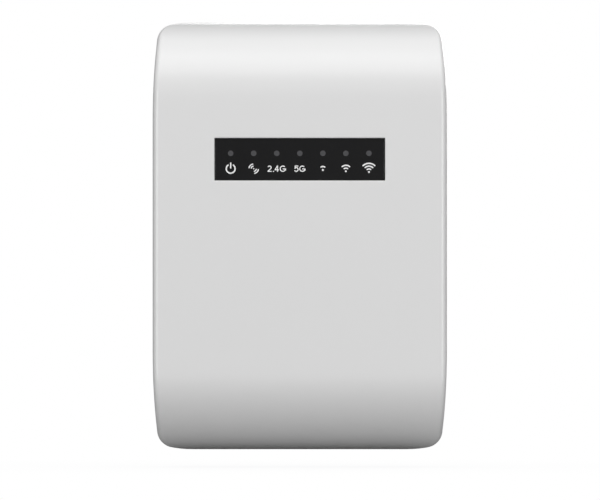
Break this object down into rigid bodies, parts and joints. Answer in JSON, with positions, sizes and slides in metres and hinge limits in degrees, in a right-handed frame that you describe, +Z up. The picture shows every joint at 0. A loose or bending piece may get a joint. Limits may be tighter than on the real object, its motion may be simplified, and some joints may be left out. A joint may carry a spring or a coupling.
{
  "type": "wifi range extender",
  "caption": "Plug-in wireless range extender: bent white cover with an indicator window, two round plug pins at the back, side buttons and a network socket in its foot.",
  "frame": {"origin": "midway between the two plug pins, on the end face of the plug boss", "axes": "+Y along the pins into the wall socket, +Z up along the height of the body, +X to the right seen from the front"},
  "size_m": [0.066, 0.07, 0.096],
  "materials": {
    "cover": "satin white moulded plastic",
    "panel": "polished black plastic",
    "marks": "white print",
    "guide": "clear moulded light guide",
    "shield": "black moulded plastic",
    "lamp": "small lamp chips",
    "board": "green lacquered board",
    "power_board": "bare paper board",
    "chip": "black moulded package",
    "coupler": "white moulded package",
    "can": "tinned sheet",
    "pad": "soft grey pad",
    "sink": "bare extruded metal",
    "antenna": "thin printed board",
    "lead": "thin round lead",
    "gilt": "gilt contacts",
    "jack": "black moulded plastic",
    "jack_shell": "tinned sheet",
    "cap": "satin white button",
    "plunger": "red switch plunger",
    "switch_body": "black switch body",
    "slider": "dark slider",
    "slider_body": "pressed sheet",
    "core": "dark ferrite",
    "coil": "yellow taped winding",
    "capacitor": "sleeved can",
    "choke": "green lacquered drum",
    "fuse": "small tube",
    "noise_capacitor": "blue lacquered disc",
    "link": "pin header",
    "sheet": "thin sheet",
    "pin": "nickel plated pins",
    "sleeve": "black insulation",
    "screw": "zinc plated screws"
  },
  "bodies": {
    "root": {"front_cover": "cover", "rear_cover": "cover", "indicator_panel": "panel", "panel_marks": "marks", "light_guide": "guide", "light_shield": "shield", "indicator_lamps": "lamp", "main_board": "board", "power_board": "power_board", "main_chip": "chip", "memory_chip": "chip", "radio_chips": "chip", "rectifier": "chip", "control_chip": "chip", "network_transformer": "chip", "coupler_chip": "coupler", "shield_frames": "can", "shield_lids": "can", "heat_pad": "pad", "heat_sink": "sink", "antenna_left": "antenna", "antenna_right": "antenna", "antenna_lead_left": "lead", "antenna_lead_right": "lead", "antenna_sockets": "gilt", "jack_contacts": "gilt", "jack_housing": "jack", "jack_shell": "jack_shell", "pair_switch": "switch_body", "power_switch": "switch_body", "reset_switch": "switch_body", "mode_switch": "slider_body", "transformer_core": "core", "transformer_coil": "coil", "bulk_capacitors": "capacitor", "output_capacitor": "capacitor", "line_choke": "choke", "line_fuse": "fuse", "noise_capacitor": "noise_capacitor", "board_link": "link", "insulation_sheet": "sheet", "plug_pins": "pin", "pin_sleeves": "sleeve", "case_screws": "screw", "board_screws": "screw"},
    "pair_button": {"pair_button": "cap", "pair_plunger": "plunger"},
    "power_button": {"power_button": "cap"},
    "mode_slider": {"mode_slider": "slider"},
    "reset_plunger": {"reset_plunger": "plunger"}
  },
  "joints": [
    {"name": "pair_press", "type": "slide", "parent": "root", "child": "pair_button", "axis": [-1, 0, 0], "range_m": [0, 0.0005], "stiffness_N_per_m": 400, "springref_m": -0.0005},
    {"name": "power_press", "type": "slide", "parent": "root", "child": "power_button", "axis": [-1, 0, 0], "range_m": [0, 0.0012], "stiffness_N_per_m": 400, "springref_m": -0.0005},
    {"name": "mode_slide", "type": "slide", "parent": "root", "child": "mode_slider", "axis": [0, 0, 1], "range_m": [0, 0.002]},
    {"name": "reset_press", "type": "slide", "parent": "root", "child": "reset_plunger", "axis": [1, 0, 0], "range_m": [0, 0.00025], "stiffness_N_per_m": 400, "springref_m": -0.0003}
  ]
}
